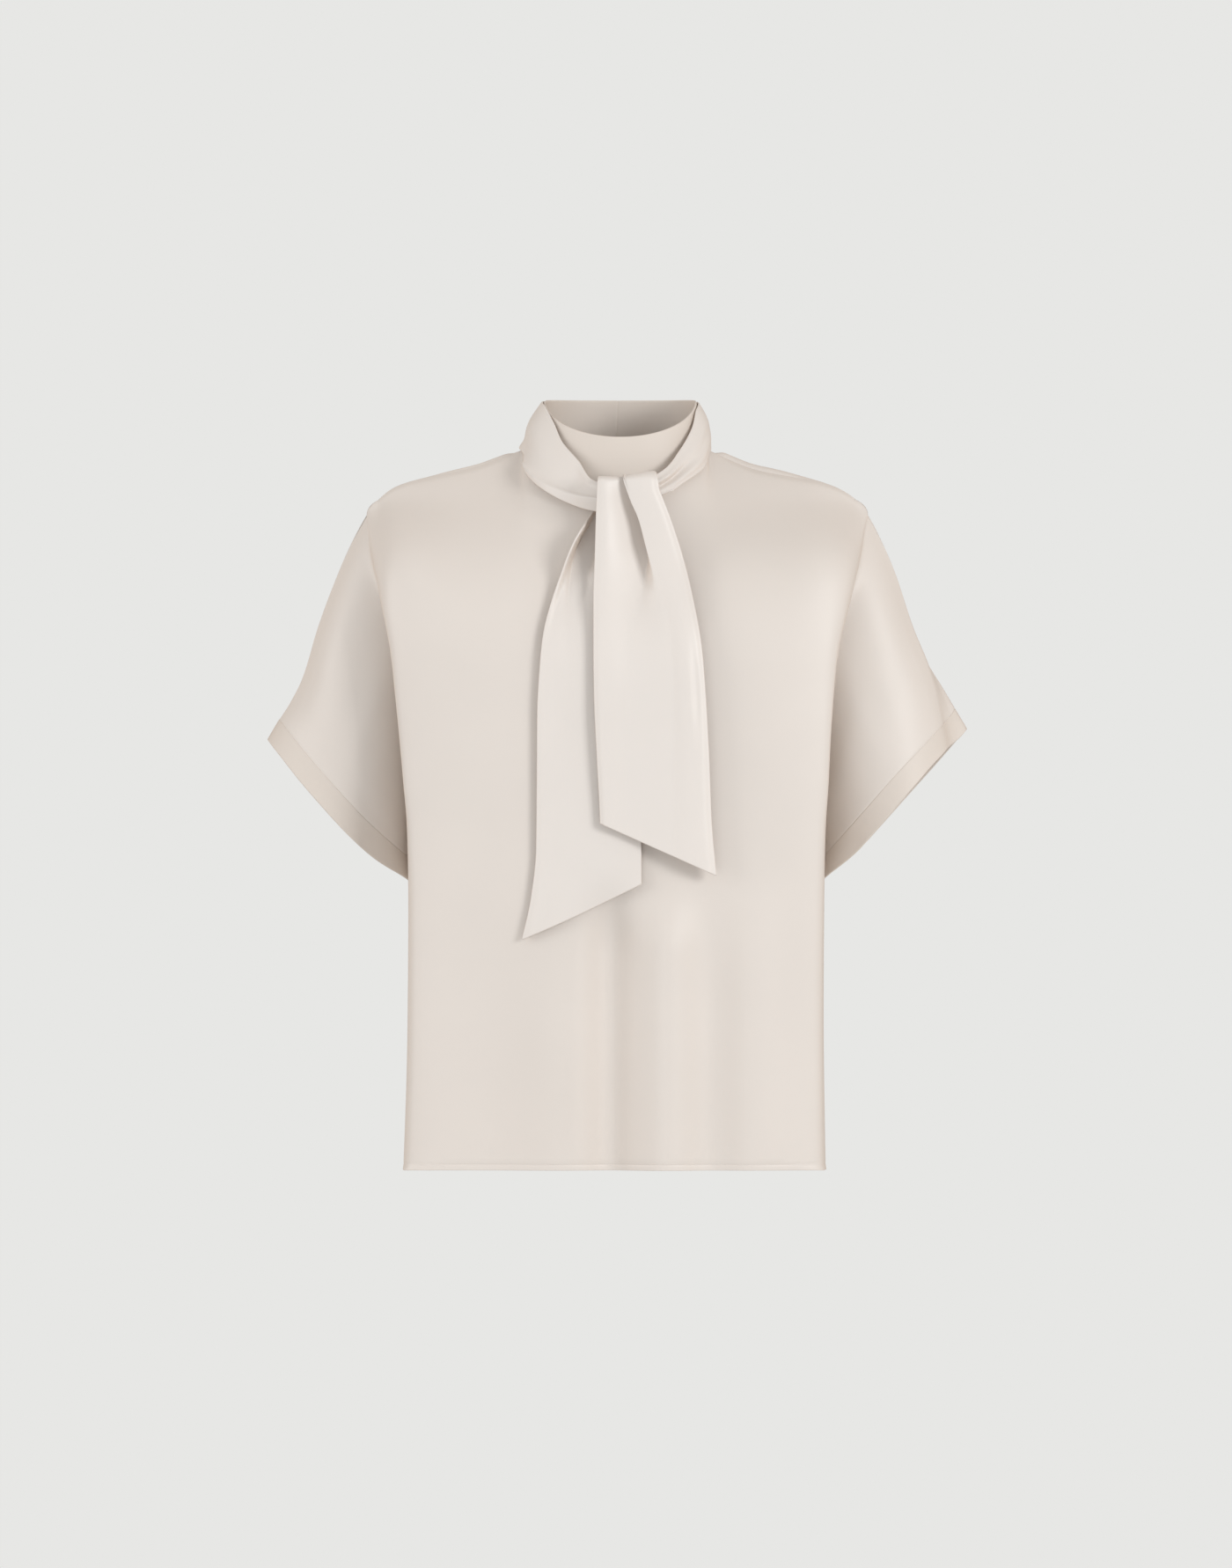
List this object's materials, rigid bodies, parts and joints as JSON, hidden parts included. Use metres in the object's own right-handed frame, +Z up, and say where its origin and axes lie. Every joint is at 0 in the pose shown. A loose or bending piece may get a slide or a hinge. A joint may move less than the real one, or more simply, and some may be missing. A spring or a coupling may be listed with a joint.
{
  "type": "mock-neck satin blouse with tied neck scarf",
  "caption": "Short-sleeved satin blouse, filled out and hollow, with a mock-neck collar, wide cut-on sleeves and a scarf tied once in front",
  "frame": {"origin": "midway between the two points where the shoulder seams meet the collar, where a neck and shoulders hold the garment", "axes": "+Z up, -Y the front, +X the wearer's left and the viewer's right from the front"},
  "size_m": [0.59, 0.2243, 0.6479],
  "materials": {
    "satin": "ivory satin, soft sheen",
    "scarf_satin": "ivory satin, doubled, soft sheen",
    "covered_button": "satin covered button and thread"
  },
  "bodies": {
    "root": {"front_panel": "satin", "back_panel": "satin", "collar_band": "satin", "sleeve_band_left": "satin", "sleeve_band_right": "satin", "scarf_neck_wrap": "scarf_satin", "scarf_knot_turn": "scarf_satin", "scarf_front_tail": "scarf_satin", "scarf_back_tail": "scarf_satin", "back_button": "covered_button", "back_button_loop": "covered_button"}
  },
  "joints": []
}
